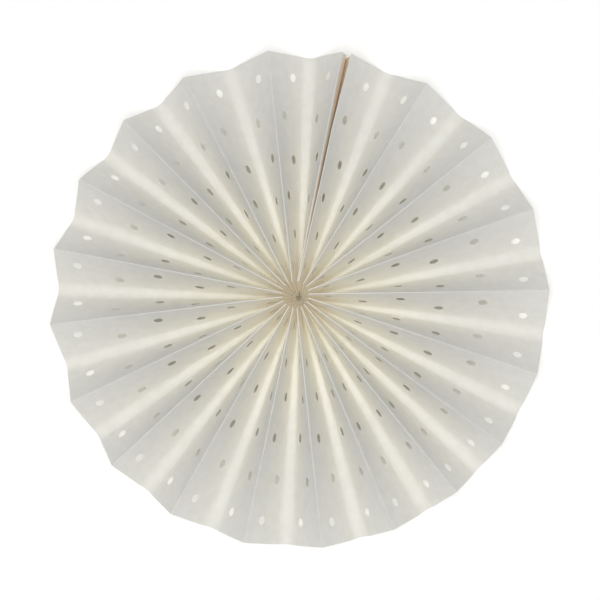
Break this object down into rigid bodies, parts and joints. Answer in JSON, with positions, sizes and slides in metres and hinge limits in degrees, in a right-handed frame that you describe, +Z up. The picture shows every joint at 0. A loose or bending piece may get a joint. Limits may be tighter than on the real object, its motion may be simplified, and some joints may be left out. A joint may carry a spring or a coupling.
{
  "type": "paper fan rosette",
  "caption": "Round pleated paper fan opened into a full rosette, with punched holes, a seam between its end flaps and a thread-gathered hub.",
  "frame": {"origin": "on the surface that the fan rests on, under the middle of the hub", "axes": "+Z up through the hub, the way the fan's face looks; +Y towards the top of the fan, with the seam 11 degrees clockwise of it; +X to the right"},
  "size_m": [0.2968, 0.2959, 0.0546],
  "materials": {
    "paper": "matte off-white paper, pressed at the folds",
    "thread": "twisted cotton thread, natural colour",
    "tape": "thin double-sided tape, slightly yellow"
  },
  "bodies": {
    "root": {"pleated_sheet": "paper", "hub_thread": "thread", "seam_tape": "tape"}
  },
  "joints": []
}
